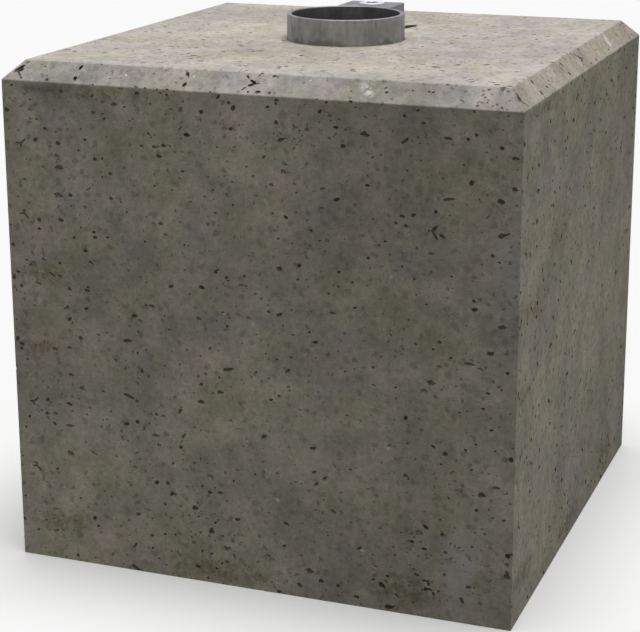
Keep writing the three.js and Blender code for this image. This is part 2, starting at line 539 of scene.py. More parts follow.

# %% [markdown]
# ## Zinc finishes
# The sleeve and the lug are hot-dip galvanised: dull grey zinc with faint vertical runs, darker drips
# and a dark band round the foot, partly dirt and partly painted contact shade. Painted shade darkens
# the bore, the lug's sides and the screw's key socket, and a painted bluish sheen lies on the faces
# that look up. The screw is plated with bright zinc under a whitish bloom that hides much of the
# metal, so its finish is only partly metallic. One plain grey metal for each would be quicker, but
# zinc is never even, and its runs are what tells it from paint.

# %% Zinc finishes
ZINC_DULL = (0.245, 0.245, 0.240, 1)
ZINC_RUN = (0.285, 0.285, 0.280, 1)
ZINC_DRIP = (0.13, 0.13, 0.125, 1)
# Dirt and painted contact shade: the dark band where the steel meets the concrete
FOOT_DIRT_AND_SHADE = (0.14, 0.135, 0.12, 1)
# Painted shade inside the bore
BORE_PAINTED_SHADE = (0.40, 0.40, 0.42, 1)
# Painted bluish sheen on the faces that look up
UPWARD_PAINTED_SHEEN = (0.98, 0.99, 1.09, 1)
# Painted shade on the lug's sides
LUG_SIDE_PAINTED_SHADE = (0.78, 0.78, 0.80, 1)
PLATE_DULL = (0.70, 0.70, 0.755, 1)
PLATE_BLOOM = (0.79, 0.79, 0.84, 1)
# Painted shade in the screw's key socket
KEY_SOCKET_PAINTED_SHADE = (0.26, 0.27, 0.28, 1)
RUN_STRETCH = (1, 1, 0.15)
FOOT_BAND_HEIGHT = 3 * MM
FOOT_BAND_WANDER = 2.5 * MM
KEY_SOCKET_REACH = 4.7 * MM


def galvanised_colour(tree, place, drawn_out, runs):
    """Grey zinc with paler runs, clouds, darker drips and a fine spangle."""
    cloudy = spread(tree, noise(tree, place, 75.0, 4.0, 0.6), 0.3, 0.7, 0.86, 1.12)
    drips = spread(tree, noise(tree, drawn_out, 150.0, 3.0, 0.7), 0.57, 0.70, 0.0, 0.7)
    cells = add(tree, "ShaderNodeTexVoronoi", {"Vector": place, "Scale": 260.0}).outputs["Color"]
    spangle = add(tree, "ShaderNodeSeparateColor", {0: cells}).outputs[0]
    spangle = spread(tree, spangle, 0.0, 1.0, 0.93, 1.07)
    colour = blend(tree, runs, ZINC_DULL, ZINC_RUN)
    colour = tinted(tree, colour, ((1.0, grey(tree, cloudy)),))
    colour = blend(tree, drips, colour, ZINC_DRIP)
    return tinted(tree, colour, ((1.0, grey(tree, spangle)),))


def steel_in_place(tree, place, colour):
    """Adds a dark band at the foot, partly dirt and partly painted contact shade, paints shade into the
    bore and on the lug's sides, and paints a bluish sheen on the faces that look up.
    """
    x, y, z = split(tree, place)
    # A dark band round the foot: dirt and painted contact shade
    wander = spread(tree, noise(tree, place, 90.0, 3.0), 0.3, 0.7, -FOOT_BAND_WANDER, FOOT_BAND_WANDER)
    height = calculate(tree, "ADD", z, wander)
    foot_dirt_and_shade = spread(tree, height, BLOCK_TOP + FOOT_BAND_HEIGHT, BLOCK_TOP, 0.0, 0.75)
    radius = distance(tree, x, y)
    in_bore = spread(tree, radius, SLEEVE_BORE + 0.3 * MM, SLEEVE_BORE + 0.05 * MM)
    facing_up = split(tree, add(tree, "ShaderNodeNewGeometry").outputs["Normal"])[2]
    behind_sleeve = calculate(tree, "GREATER_THAN", radius, SLEEVE_RADIUS + 0.5 * GAP)
    shaded_lug_sides = product(tree, spread(tree, facing_up, 0.6, 0.2), behind_sleeve)
    return tinted(tree, blend(tree, foot_dirt_and_shade, colour, FOOT_DIRT_AND_SHADE), (
        # Painted shade inside the bore
        (in_bore, BORE_PAINTED_SHADE),
        # Painted bluish sheen on the faces that look up
        (spread(tree, facing_up, 0.6, 0.9), UPWARD_PAINTED_SHEEN),
        # Painted shade on the lug's sides
        (shaded_lug_sides, LUG_SIDE_PAINTED_SHADE),
    ))


def weathered_zinc_finish():
    material, tree, surface, place = new_finish("weathered_zinc")
    drawn_out = add(tree, "ShaderNodeMapping", {"Vector": place, "Scale": RUN_STRETCH}).outputs[0]
    runs = spread(tree, noise(tree, drawn_out, 210.0, 4.0, 0.6), 0.3, 0.7)
    colour = steel_in_place(tree, place, galvanised_colour(tree, place, drawn_out, runs))
    tree.links.new(colour, surface.inputs["Base Color"])
    surface.inputs["Metallic"].default_value = 0.85
    tree.links.new(spread(tree, runs, 0.0, 1.0, 0.58, 0.46), surface.inputs["Roughness"])
    pebbled = noise(tree, place, 650.0, 2.0)
    give_relief(tree, surface, pebbled, strength=0.15, depth=0.15 * MM)
    return material


def bright_zinc_finish():
    material, tree, surface, place = new_finish("bright_zinc")
    x, y, z = split(tree, place)
    bloom = spread(tree, noise(tree, place, 500.0, 3.0, 0.6), 0.3, 0.7)
    radius = distance(tree, x, calculate(tree, "SUBTRACT", y, SCREW_CENTRE))
    near_axis = calculate(tree, "LESS_THAN", radius, KEY_SOCKET_REACH)
    sunken = spread(tree, z, screw_high.z - 0.05 * MM, screw_high.z - 0.4 * MM)
    colour = blend(tree, bloom, PLATE_DULL, PLATE_BLOOM)
    # Painted shade in the key socket
    colour = tinted(tree, colour, ((product(tree, sunken, near_axis), KEY_SOCKET_PAINTED_SHADE),))
    tree.links.new(colour, surface.inputs["Base Color"])
    surface.inputs["Metallic"].default_value = 0.3
    tree.links.new(spread(tree, bloom, 0.0, 1.0, 0.55, 0.45), surface.inputs["Roughness"])
    return material


weathered_zinc = weathered_zinc_finish()
bright_zinc = bright_zinc_finish()
print("zinc finishes have", [len(zinc.node_tree.nodes) for zinc in (weathered_zinc, bright_zinc)], "nodes")

# %% [markdown]
# ## The plain casting
# The block is cast in a mould with fillet strips, which leave the chamfers, and its other arrises are
# only just broken. A cube with bevelled edges would do, but its faces would be single large ones. Here
# they are divided into a grid, so that an air hole cut into them disturbs only its own cell and the
# mesh has no long thin slivers. A face attribute says how thickly the holes may lie: thinner on the
# underside and the chamfers, thicker on the top, and thickest along the arrises.

# %% Plain casting
EDGE_ROUND = 0.4 * MM
CELL = 15 * MM
SKIN = "skin"
UNDERSIDE_SKIN = 0.3
TOP_SKIN = 1.4
SIDE_SKIN = 1.0
CHAMFER_SKIN = 0.55
ARRIS_SKIN = 3.0
SQUARE = 0.999
SLANT = math.sqrt(0.5)
SLANT_PLAY = 0.001


def plain_casting():
    shape = bmesh.new()
    corners = ((-1, -1), (1, -1), (1, 1), (-1, 1))
    levels = ((BLOCK_HALF, 0), (BLOCK_HALF, ARRIS), (BLOCK_HALF - CHAMFER, BLOCK_TOP))
    rings = [[shape.verts.new((x * half, y * half, z)) for x, y in corners] for half, z in levels]
    shape.faces.new(reversed(rings[0]))
    shape.faces.new(rings[-1])
    for lower, upper in zip(rings, rings[1:]):
        for here in range(4):
            there = (here + 1) % 4
            shape.faces.new((lower[here], lower[there], upper[there], upper[here]))
    edges = shape.edges[:]
    bmesh.ops.bevel(shape, geom=edges, offset=EDGE_ROUND, segments=2, affect="EDGES", profile=0.5)
    return shape


def divide(shape):
    """Cuts the faces along a grid of planes, with the same number across each axis."""
    steps = math.floor(BLOCK_TOP / CELL)
    for axis in range(3):
        normal = Vector((0, 0, 0))
        normal[axis] = 1
        middle = (block_low[axis] + block_high[axis]) / 2
        for step in range(steps):
            spot = normal * (middle + (step - (steps - 1) / 2) * CELL)
            every = shape.verts[:] + shape.edges[:] + shape.faces[:]
            bmesh.ops.bisect_plane(shape, geom=every, plane_co=spot, plane_no=normal)


def skin_weight(face):
    squareness = max(abs(part) for part in face.normal)
    if face.normal.z < -SQUARE:
        return UNDERSIDE_SKIN
    if face.normal.z > SQUARE:
        return TOP_SKIN
    if squareness > SQUARE:
        return SIDE_SKIN
    if abs(squareness - SLANT) < SLANT_PLAY and face.area > EDGE_ROUND * CELL:
        return CHAMFER_SKIN
    return ARRIS_SKIN


def mark_skin(piece):
    weights = piece.data.attributes.new(SKIN, "FLOAT", "FACE")
    for face, weight in zip(piece.data.polygons, weights.data):
        weight.value = skin_weight(face)


casting = plain_casting()
divide(casting)
block = to_object("cast_block", casting)
mark_skin(block)
print("plain casting has", len(block.data.polygons), "faces")

# %% [markdown]
# ## Room for the steel
# The sleeve stands in a bore, with a plug of concrete inside its foot, and the lug in a pocket behind
# it. Both are a hair wider than the steel, so that the pieces don't share faces. The lug's outline
# serves twice: grown by that clearance it cuts the pocket, and at its true size it makes the lug.

# %% Bore and lug pocket
LUG_CORNER = 1.2 * MM
CORNER_STEPS = 5
COPE_STEPS = 24
SLEEVE_SIDES = 144


def lug_outline(clearance):
    half = lug_high.x + clearance
    back = lug_high.y + clearance
    corner = LUG_CORNER + clearance
    cope = SLEEVE_RADIUS + GAP - clearance
    cope_degrees = math.degrees(math.acos(half / cope))
    outline = arc((half - corner, back - corner), corner, 0, 90, CORNER_STEPS)
    outline += arc((corner - half, back - corner), corner, 90, 180, CORNER_STEPS)
    outline += arc((0, 0), cope, 180 - cope_degrees, cope_degrees, COPE_STEPS)
    return outline


cut(block, turned("bore", [
    (0, SOCKET_FLOOR),
    (SLEEVE_BORE - GAP, SOCKET_FLOOR),
    (SLEEVE_BORE - GAP, sleeve_low.z - GAP),
    (SLEEVE_RADIUS + GAP, sleeve_low.z - GAP),
    (SLEEVE_RADIUS + GAP, RIM),
    (0, RIM),
], SLEEVE_SIDES))
cut(block, prism("lug_pocket", lug_outline(GAP), lug_low.z - GAP, RIM))
print("bored casting has", len(block.data.polygons), "faces")

# %% [markdown]
# ## The bold holes
# The eye knows this block by its larger air holes and chips, so these are given one by one, and only
# the small ones are left to chance. Each is listed by its place across a side, down from the top arris,
# its length, width, tilt and shade, from black (0) to faint (3). The two near sides carry the same
# holes. The far sides carry them turned about, without the chips at the hips.

# %% Places of the bold holes
SIDE_HOLES = (
    (113, 24, 4.5, 3, 0, 0), (122, 11, 3.4, 2.6, 30, 0), (139, 19, 3, 2, 20, 0), (132, 2, 3.5, 2, 60, 0),
    (84, 3, 3, 2, 0, 1), (138, 5, 3, 2, 0, 1), (96, 37, 3.5, 2.5, 0, 1), (99, 31, 3, 2.5, 0, 1),
    (93, 32, 2.6, 2, 0, 1), (2.5, 17, 3, 3, 0, 1), (20, 33, 3.5, 2.5, 45, 1), (34, 34, 4, 2.5, 0, 1),
    (34, 48, 6, 3.2, 5, 2), (33, 64, 6, 3.5, -5, 2), (20, 79, 3.5, 2.5, -40, 1), (34, 78, 3.5, 2.5, 0, 1),
    (66, 49, 2.6, 2, 0, 1), (66, 63, 3, 2, 0, 1), (96, 75, 3.3, 2.2, 0, 2), (99, 81, 3, 2, 0, 2),
    (2.5, 95, 3, 2.5, 0, 1), (120, 109, 4, 3, 0, 0), (129, 99, 4, 2, 45, 1), (135, 102, 3, 2, 20, 1),
    (89, 123, 4.5, 2, -10, 2), (78, 130, 4, 3, 15, 1), (36, 129, 3, 2, -60, 1), (37, 136, 3, 2, 45, 1),
    (168, 23, 5, 2.5, 25, 1), (203, 24, 4, 2.5, 10, 1), (215, 17, 5.5, 2.5, -5, 1),
    (158, 33, 3, 1.8, 40, 1), (169, 40, 3.5, 2.5, 0, 2), (162, 48, 3.5, 2, 0, 2),
    (247, 9, 2.4, 1.8, 0, 1), (260, 16, 6, 1.8, 0, 1), (237, 19, 5, 2, 45, 1), (296, 24, 4, 2.2, 0, 1),
    (296, 40, 4, 2.5, 0, 1), (289, 47, 4, 3.5, 0, 1), (261, 48, 6.5, 2, 10, 1),
    (253.5, 64.6, 6.6, 2.2, 53, 1), (253.7, 67.6, 6.4, 2, -55, 1), (290, 65, 5, 3, 20, 1),
    (285, 76, 3, 2, 0, 1), (236, 59, 3, 2, 0, 1), (242, 58, 3, 2, 20, 1), (238, 64, 2.8, 2, 0, 1),
    (166, 120, 4, 2.5, 35, 1), (197, 116, 4, 2, 0, 2), (291, 114, 6, 2.5, 15, 1), (285, 129, 4, 3, 15, 1),
    (274, 136, 5.5, 2, -5, 1), (73, 145, 7, 2.5, 10, 1), (73, 178, 7, 2.5, -15, 1),
    (82, 162, 3, 2, 90, 1), (78, 193, 3.5, 2.5, 0, 1), (135, 155, 6.5, 2.5, 15, 1),
    (130, 169, 4, 2.5, 0, 1), (118, 176, 6, 2.4, 0, 1), (43, 177, 3.5, 2.5, 0, 2),
    (34, 201, 5.5, 2.5, 10, 2), (34, 218, 5, 3, -5, 2), (89, 200, 5, 2, 5, 2), (107, 198, 4.5, 2, 60, 2),
    (96, 228, 3.5, 2.5, -20, 1), (100, 234, 3, 2, 0, 1), (113, 241, 5, 3, 0, 0), (123, 254, 4, 3, 0, 0),
    (132, 263, 4, 2, -45, 1), (137, 267, 3.5, 1.6, -70, 1), (85, 262, 3.5, 2, 20, 1),
    (74, 270, 4, 2, 60, 1), (114, 277, 3.5, 2, -20, 1), (36, 282, 3, 2.5, 0, 1), (74, 284, 6, 3, -25, 1),
    (253, 149, 5, 3.5, 0, 2), (156, 192, 5, 2.5, 40, 1), (185, 195, 3.5, 2.3, 20, 1),
    (186, 209, 3, 2, 30, 1), (192, 212, 4, 2, 48, 1), (187, 216, 3.5, 1.8, 52, 1),
    (282, 209, 4.2, 3.5, 0, 1), (169, 242, 4.5, 2, -25, 1), (247, 236, 5, 4, 0, 3),
    (297.5, 242, 4.4, 3.2, 60, 0), (297, 254, 4.6, 3.6, 0, 1), (246, 261, 3, 2, 0, 1),
    (252.9, 265.6, 2.4, 2, -60, 0), (251.4, 268.8, 3, 2.6, 0, 0), (254, 268.6, 4, 1.6, -20, 0),
    (255.7, 271, 3.4, 1.5, -65, 0), (226, 270.4, 5.6, 3.2, -41, 0), (229.2, 264.5, 2.6, 2, 0, 0),
    (228.3, 268, 3, 1.1, -40, 0), (234.6, 275.2, 3.4, 1.4, -40, 0), (272, 272, 4, 2.5, -55, 1),
    (190, 274, 4, 2.5, 0, 0), (200, 275, 3, 2, 0, 1), (211, 280, 3.5, 2.5, 0, 1), (183, 269, 5, 4, 0, 2),
    (230, 283, 5.6, 3.4, 0, 0), (27, 110.6, 4.4, 1.5, -35, 1), (31.8, 111.3, 3.8, 1.3, -40, 1),
    (17.7, 116.4, 4.6, 1.6, -15, 2), (4.8, 110.9, 2.6, 1.9, 0, 1), (2.2, 114.3, 3.4, 2.4, 80, 1),
    (37.6, 118, 3.6, 2.1, -10, 1), (48.9, 117.8, 3.3, 1.9, 0, 1), (52.1, 101.3, 3.8, 1.8, -30, 1),
    (43.4, 146.5, 3.6, 2.6, 0, 1), (36.1, 153.4, 3.6, 2, 0, 2), (26.5, 155, 4, 2.5, 0, 2),
    (2.4, 151.3, 4, 2.8, 80, 1), (5, 154.1, 3, 2.3, 0, 1), (36.4, 169.6, 3.2, 1.8, -15, 1),
    (20.4, 186.6, 3.4, 2.6, 60, 1), (34.4, 187.5, 3.8, 2.4, -5, 1), (19.7, 195.2, 2.8, 2.2, 0, 1),
    (25.2, 194.4, 3, 2, 0, 2), (6.6, 119.1, 2.2, 2.2, 0, 1), (48.9, 94.8, 2.8, 2.2, 0, 1),
    (22, 102.1, 3.2, 1.6, -20, 2),
)

# Small three-armed stars where a bubble broke through the skin: across, down and which way up they lie
STAR_CHIPS = ((10.6, 35.6, 1), (10.7, 76, -1), (11.2, 188.7, 1), (11.1, 228.8, -1))

# The arms of a star: direction in degrees, length and width, and how far along it an arm is centred
STAR_ARMS = ((43, 4.6, 1.5), (175, 3.2, 1.4), (270, 3.2, 1.4))
STAR_REACH = 0.4
STAR_SHADE = 1

# On a chamfer the second number runs down its slope
CHAMFER_HOLES = (
    (46, 3.5, 4.4, 2.4, 70, 0), (45, 11, 4, 2.5, -70, 0), (111, 3.7, 4.2, 2.4, -60, 0),
    (111, 10.6, 3.8, 2.6, 70, 0), (150.8, 6.9, 3.4, 2.6, 0, 0), (153.2, 7, 2.6, 0.9, 0, 1),
    (149.7, 5.8, 5, 1.9, -29, 0), (146.2, 3.2, 4.6, 1.1, -45, 0), (149.4, 8, 5.2, 1.9, 25, 0),
    (145.8, 10.6, 4.2, 1.1, 47, 0), (161, 1.7, 2.6, 2, 20, 1), (161, 12.5, 2.4, 2, -20, 1),
    (24, 4.2, 2, 1.7, 0, 3), (24, 10, 2, 1.7, 0, 3), (66, 4.7, 2, 1.6, 0, 3), (66, 9.7, 2, 1.6, 0, 3),
    (91, 4.7, 2, 1.6, 0, 3), (276, 3, 2, 1.6, 0, 3), (279, 2.2, 2, 1.6, 30, 2), (281, 5, 1.6, 1.4, 0, 3),
    (278, 7, 1.8, 1.4, 60, 2), (280, 8.5, 1.6, 1.3, 0, 3), (277, 10.5, 1.8, 1.5, 0, 3),
    (275, 12.4, 2, 1.6, 20, 2), (283, 12, 1.8, 1.4, 0, 3), (286, 1.8, 2.4, 1.6, 10, 2),
    (289, 2.4, 1.8, 1.3, 0, 2), (285, 11, 1.8, 1.5, 0, 2), (288, 12.8, 2, 1.6, -20, 2),
    (291, 8, 1.5, 1.2, 0, 3), (267, 4.2, 2.4, 1.8, 0, 3), (266, 9.8, 2.2, 1.6, 0, 3),
)

# The chip at the end of a near chamfer, on the hip
HIP_CHIP = (
    (8.7, 6.6, 8.6, 3.0, 46, 0), (9.3, 7.5, 5.4, 3.4, 30, 0), (10.2, 10.6, 6.0, 1.3, -50, 0),
    (11.9, 12.7, 1.8, 1.4, 0, 0), (12.3, 2.2, 2.8, 1.3, 40, 2),
)

# On the top both numbers run from the sleeve's axis
TOP_HOLES = (
    (0, -74, 5, 3, 70, 0), (-45, -112, 5, 3, 60, 0), (45, -113, 5, 3, 80, 0), (-57, -95, 4.5, 2.6, 60, 1),
    (-52, -99, 4, 2.4, 60, 1), (108, -71, 6, 3, 80, 1), (93, -77, 5, 2.8, 80, 1), (84, -88, 6, 3.4, 0, 1),
    (109, -118, 5, 2.4, 60, 1), (116, -129, 5, 2.4, 60, 1), (131, -133, 5, 3, 60, 0),
    (31, -122, 5, 3, 60, 1), (24, -84, 4, 2.4, 60, 1), (-85, -66, 4, 2.4, 60, 1),
    (-69, -66, 4.4, 2.4, 60, 1),
)

# A void behind the lug's corner, deeper than it is wide
LUG_VOID = (17.6, 62, 26, 11.5, 86, 0)
VOID_DEPTH = 3
VOID_SINK = 10 * MM
print("holes on a side", len(SIDE_HOLES), "on a chamfer", len(CHAMFER_HOLES), "on the top", len(TOP_HOLES))

# %% [markdown]
# ## From lists to marks
# A loop over the four sides turns the lists into places in space. The black marks on the chamfers are
# chips, so they are cut deeper than the rest. The marks become the points of a mesh, and attributes on
# the points carry what else is known of each, because that is what Geometry Nodes can read.

# %% Marks of the bold holes
Mark = namedtuple("Mark", "place facing length width tilt shade depth", defaults=(1,))
Side = namedtuple("Side", "outward sideways corner near")
UP = Vector((0, 0, 1))
SIDE_DIRECTIONS = (Vector((0, -1, 0)), Vector((1, 0, 0)), Vector((0, 1, 0)), Vector((-1, 0, 0)))
NEAR_SIDES = 2
SIDE_WIDTH = 2 * BLOCK_HALF / MM
SIDE_HEIGHT = ARRIS / MM
DEPTH_LOSS = 0.22
BLACK_DEPTH = 1.8
HOLE_FORMS = 3


def star_chips():
    """Each star is three short slits that run out from one point."""
    for across, down, way_up in STAR_CHIPS:
        for degrees, length, width in STAR_ARMS:
            tilt = way_up * degrees
            reach = STAR_REACH * length
            right = across + reach * math.cos(math.radians(tilt))
            lower = down - reach * math.sin(math.radians(tilt))
            yield right, lower, length, width, tilt, STAR_SHADE


def side_marks(side):
    for across, down, *shape in (*SIDE_HOLES, *star_chips()):
        if not side.near:
            across, down = SIDE_WIDTH - across, SIDE_HEIGHT - down
        yield Mark(side.corner + (side.sideways * across - UP * down) * MM, side.outward, *shape)


def chamfer_marks(side):
    upper = side.corner - side.outward * CHAMFER + UP * CHAMFER
    slope = (side.outward - UP).normalized()
    facing = (side.outward + UP).normalized()
    for across, down, length, width, tilt, shade in CHAMFER_HOLES:
        if not side.near:
            across, tilt = SIDE_WIDTH - across, -tilt
        place = upper + (side.sideways * across + slope * down) * MM
        yield Mark(place, facing, length, width, tilt, shade, 1 if shade else BLACK_DEPTH)
    if side.near:
        for across, down, *shape in HIP_CHIP:
            yield Mark(upper + (side.sideways * across + slope * down) * MM, facing, *shape)


def bold_holes():
    for number, outward in enumerate(SIDE_DIRECTIONS):
        sideways = UP.cross(outward)
        corner = (outward - sideways) * BLOCK_HALF + UP * ARRIS
        side = Side(outward, sideways, corner, number < NEAR_SIDES)
        yield from side_marks(side)
        yield from chamfer_marks(side)
    for x, y, *shape in TOP_HOLES:
        yield Mark(Vector((x, y, 0)) * MM + UP * BLOCK_TOP, UP, *shape)
    x, y, *shape = LUG_VOID
    yield Mark(Vector((x, y, 0)) * MM + UP * (BLOCK_TOP - VOID_SINK), UP, *shape, VOID_DEPTH)


def half_sizes(mark):
    """Half the length and width, and a depth that shrinks as the shade gets fainter."""
    depth = mark.width * mark.depth * (1 - DEPTH_LOSS * mark.shade)
    return tuple(0.5 * size * MM for size in (mark.length, mark.width, depth))


def marks_object(marks):
    """Points that carry each mark's facing, size, tilt, shade and form as attributes."""
    mesh = bpy.data.meshes.new("bold_holes")
    mesh.from_pydata([mark.place for mark in marks], [], [])
    columns = (
        ("facing", "FLOAT_VECTOR", "vector", [tuple(mark.facing) for mark in marks]),
        ("size", "FLOAT_VECTOR", "vector", [half_sizes(mark) for mark in marks]),
        ("tilt", "FLOAT", "value", [math.radians(mark.tilt) for mark in marks]),
        ("shade", "FLOAT", "value", [mark.shade for mark in marks]),
        ("form", "FLOAT", "value", [number % HOLE_FORMS for number in range(len(marks))]),
    )
    for name, kind, field, values in columns:
        mesh.attributes.new(name, kind, "POINT").data.foreach_set(field, np.ravel(values))
    piece = bpy.data.objects.new("bold_holes", mesh)
    bpy.context.scene.collection.objects.link(piece)
    return piece


marks = marks_object(list(bold_holes()))
print(len(marks.data.vertices), "bold holes")

# %% [markdown]
# ## The small holes
# Thousands of smaller holes lie between the bold ones, most of them flattened and leaning a little.
# Placing each by hand would be endless, so Geometry Nodes scatter points over the skin, thicker in
# some places than in others. Each point draws a size, many small and few large, then how slender, how
# dark and how tilted its hole is. Every draw has a fixed seed.

# %% Scattered points
HOLE_SHADES = (0.84, 0.73, 0.59, 0.42)
SIZE_DRAW, SLENDER_DRAW, SHADE_DRAW, TILT_DRAW, FORM_DRAW = range(1, 6)
JUST_UNDER_ONE = 0.999
RAREST = 0.002
SLENDEREST = 1.45
ROUNDEST = 1.05

# Where holes crowd on a side: across, height, half length and half height, in millimetres
CROWDS = ((112, 30, 52, 36), (250, 30, 52, 34), (170, 271, 135, 24), (68, 218, 36, 34))
CROWDED = 2.4
UNCROWDED = 0.8


def random_between(tree, low, high, seed):
    return add(tree, "FunctionNodeRandomValue", {2: low, 3: high, "Seed": seed}).outputs[1]


def recall(tree, name, kind):
    return add(tree, "GeometryNodeInputNamedAttribute", {"Name": name}, data_type=kind).outputs[0]


def store(tree, geometry, name, kind, value, domain="POINT"):
    feeds = {"Geometry": geometry, "Name": name, "Value": value}
    return add(tree, "GeometryNodeStoreNamedAttribute", feeds, data_type=kind, domain=domain).outputs[0]


def scatter_points(tree, inputs, place):
    patches = spread(tree, noise(tree, place, 28.0, 2.0), 0.35, 0.65, 0.25, 1.75)
    x, y, z = split(tree, place)
    crowds = spread(tree, stains(tree, across_side(tree, x, y), z, CROWDS), 0.0, 1.0, UNCROWDED, CROWDED)
    density = product(tree, inputs["Density"], recall(tree, SKIN, "FLOAT"), crowds, patches)
    feeds = {"Mesh": inputs["Geometry"], "Density": density, "Seed": inputs["Seed"]}
    return add(tree, "GeometryNodeDistributePointsOnFaces", feeds)


def drawn_shade(tree):
    """A number from 0 for the darkest shade; squaring the lot makes dark ones likelier."""
    lot = random_between(tree, 0.0, JUST_UNDER_ONE, SHADE_DRAW)
    return calculate(tree, "FLOOR", product(tree, product(tree, lot, lot), float(len(HOLE_SHADES))))


def drawn_size(tree, inputs, shade):
    """Half the length, width and depth; the logarithm of a lot makes large holes rare."""
    rarity = calculate(tree, "LOGARITHM", random_between(tree, RAREST, 1.0, SIZE_DRAW), math.e)
    growth = product(tree, inputs["Growth"], -1.0)
    across = calculate(tree, "MULTIPLY_ADD", rarity, growth, inputs["Smallest"])
    across = calculate(tree, "MINIMUM", across, inputs["Largest"])
    slenderness = random_between(tree, ROUNDEST, SLENDEREST, SLENDER_DRAW)
    length = product(tree, across, slenderness)
    width = calculate(tree, "DIVIDE", across, slenderness)
    depth = product(tree, width, calculate(tree, "MULTIPLY_ADD", shade, -DEPTH_LOSS, 1.0))
    size = add(tree, "ShaderNodeCombineXYZ", {0: length, 1: width, 2: depth}).outputs[0]
    return scaled(tree, size, 0.5)


def scattered_points(tree, inputs, place):
    """Points over the skin with a facing, size, tilt, shade and form each."""
    scatter = scatter_points(tree, inputs, place)
    shade = drawn_shade(tree)
    size = drawn_size(tree, inputs, shade)
    turn = random_between(tree, -1.0, 1.0, TILT_DRAW)
    tilt = calculate(tree, "MULTIPLY_ADD", turn, inputs["Tilt Spread"], inputs["Tilt"])
    form = calculate(tree, "FLOOR", random_between(tree, 0.0, HOLE_FORMS - 0.001, FORM_DRAW))
    points = store(tree, scatter.outputs["Points"], "facing", "FLOAT_VECTOR", scatter.outputs["Normal"])
    points = store(tree, points, "size", "FLOAT_VECTOR", size)
    points = store(tree, points, "tilt", "FLOAT", tilt)
    points = store(tree, points, "shade", "FLOAT", shade)
    return store(tree, points, "form", "FLOAT", form)


# %% [markdown]
# ## The tree that cuts the holes
# The points of the bold holes join the scattered ones, and a lumpy ball sits on each, flattened to
# its size and turned to its tilt. Displacing the skin would only dent it, so the balls are cut out of
# the block in one Mesh Boolean, which leaves crisp edges as a burst bubble does. The balls carry a
# face attribute, so the walls of the holes know how dark they are.

# %% Air hole tree
LUMPINESS = 0.36
LUMP_SCALE = 1.5
FORM_SPACING = 7.0
HOLE_LIFT = 0.22

# Not quite upright, so that there is a level direction on the top as well
NEARLY_UP = (0, 0.1, 1)
TREE_INPUTS = (
    ("Geometry", "NodeSocketGeometry"),
    ("Marks", "NodeSocketObject"),
    ("Density", "NodeSocketFloat"),
    ("Smallest", "NodeSocketFloat"),
    ("Growth", "NodeSocketFloat"),
    ("Largest", "NodeSocketFloat"),
    ("Tilt", "NodeSocketFloat"),
    ("Tilt Spread", "NodeSocketFloat"),
    ("Roundness", "NodeSocketInt"),
    ("Seed", "NodeSocketInt"),
    ("Material", "NodeSocketMaterial"),
)


def moved(tree, geometry, offset):
    return add(tree, "GeometryNodeSetPosition", {"Geometry": geometry, "Offset": offset}).outputs[0]


def lumpy_balls(tree, inputs, place):
    """A few lumpy forms for each shade, as a list of instances to pick from."""
    balls = add(tree, "GeometryNodeJoinGeometry")
    for number in reversed(range(HOLE_FORMS * len(HOLE_SHADES))):
        ball = add(tree, "GeometryNodeMeshIcoSphere", {"Radius": 1.0, "Subdivisions": inputs["Roundness"]})
        feeds = {0: place, 1: (FORM_SPACING * number, 0, 0)}
        elsewhere = add(tree, "ShaderNodeVectorMath", feeds).outputs[0]
        lump = noise(tree, elsewhere, LUMP_SCALE, 1.0)
        lump = spread(tree, lump, 0.25, 0.75, -LUMPINESS, LUMPINESS)
        lumpy = moved(tree, ball.outputs[0], scaled(tree, place, lump))
        shaded = store(tree, lumpy, AIR_HOLE, "FLOAT", HOLE_SHADES[number // HOLE_FORMS], "FACE")
        whole = add(tree, "GeometryNodeGeometryToInstance", {0: shaded})
        tree.links.new(whole.outputs[0], balls.inputs[0])
    return balls.outputs[0]


def all_points(tree, inputs, place):
    bold = add(tree, "GeometryNodeObjectInfo", {"Object": inputs["Marks"]}).outputs["Geometry"]
    bold = add(tree, "GeometryNodeMeshToPoints", {"Mesh": bold}).outputs[0]
    points = add(tree, "GeometryNodeJoinGeometry", {0: scattered_points(tree, inputs, place)})
    tree.links.new(bold, points.inputs[0])
    return points.outputs[0]


def hole_rotation(tree, facing):
    """Turns a ball's short axis into the skin and its long axis level, then tilts it."""
    feeds = {0: NEARLY_UP, 1: facing}
    sideways = add(tree, "ShaderNodeVectorMath", feeds, operation="CROSS_PRODUCT").outputs[0]
    feeds = {"Primary Axis": facing, "Secondary Axis": sideways}
    upright = add(tree, "FunctionNodeAxesToRotation", feeds, primary_axis="Z", secondary_axis="X")
    feeds = {"Axis": (0, 0, 1), "Angle": recall(tree, "tilt", "FLOAT")}
    lean = add(tree, "FunctionNodeAxisAngleToRotation", feeds).outputs[0]
    feeds = {"Rotation": upright.outputs[0], "Rotate By": lean}
    return add(tree, "FunctionNodeRotateRotation", feeds, rotation_space="LOCAL").outputs[0]


def placed_balls(tree, inputs):
    """The right ball on each point, lifted a little out of the skin so that the hole is shallow."""
    place = add(tree, "GeometryNodeInputPosition").outputs[0]
    facing = recall(tree, "facing", "FLOAT_VECTOR")
    size = recall(tree, "size", "FLOAT_VECTOR")
    lift = scaled(tree, facing, product(tree, split(tree, size)[2], HOLE_LIFT))
    shade = recall(tree, "shade", "FLOAT")
    form = recall(tree, "form", "FLOAT")
    return add(tree, "GeometryNodeInstanceOnPoints", {
        "Points": moved(tree, all_points(tree, inputs, place), lift),
        "Instance": lumpy_balls(tree, inputs, place),
        "Pick Instance": True,
        "Instance Index": calculate(tree, "MULTIPLY_ADD", shade, HOLE_FORMS, form),
        "Rotation": hole_rotation(tree, facing),
        "Scale": size,
    }).outputs[0]


